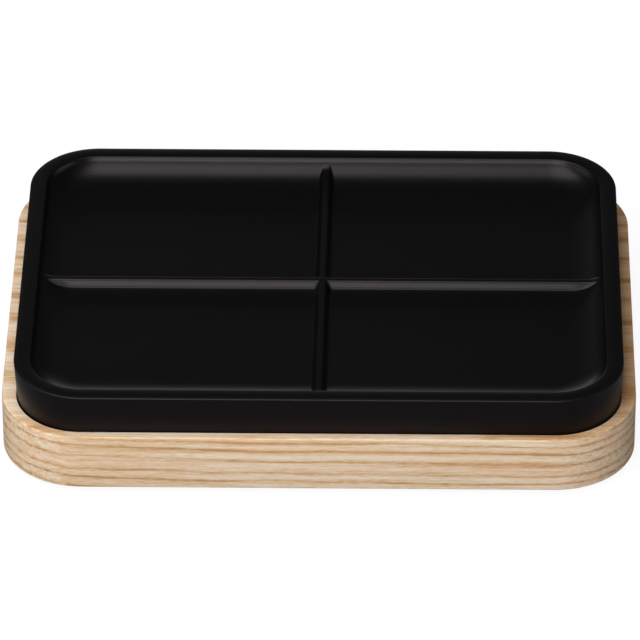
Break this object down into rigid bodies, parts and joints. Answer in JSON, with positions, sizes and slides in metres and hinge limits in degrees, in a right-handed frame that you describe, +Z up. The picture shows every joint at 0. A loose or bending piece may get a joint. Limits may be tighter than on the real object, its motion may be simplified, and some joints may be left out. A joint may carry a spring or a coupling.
{
  "type": "soap dish",
  "caption": "Shallow rectangular soap dish: a black lift-out tray with a rounded rim and a cross rib, seated in a recessed wooden base on soft pads.",
  "frame": {"origin": "under the middle of the dish, on the surface that it stands on", "axes": "+X along the long side, +Y to the back, +Z up"},
  "size_m": [0.14, 0.103, 0.024],
  "materials": {
    "ash": "pale ash, fine growth lines, satin oil",
    "black_plastic": "satin black moulding",
    "silicone": "soft matt"
  },
  "bodies": {
    "base": {"wood_base": "ash", "pad_front_left": "silicone", "pad_front_right": "silicone", "pad_back_left": "silicone", "pad_back_right": "silicone"},
    "tray": {"soap_tray": "black_plastic"}
  },
  "joints": [
    {"name": "tray_lift", "type": "slide", "parent": "base", "child": "tray", "axis": [0, 0, 1], "range_m": [0, 0.04]}
  ]
}
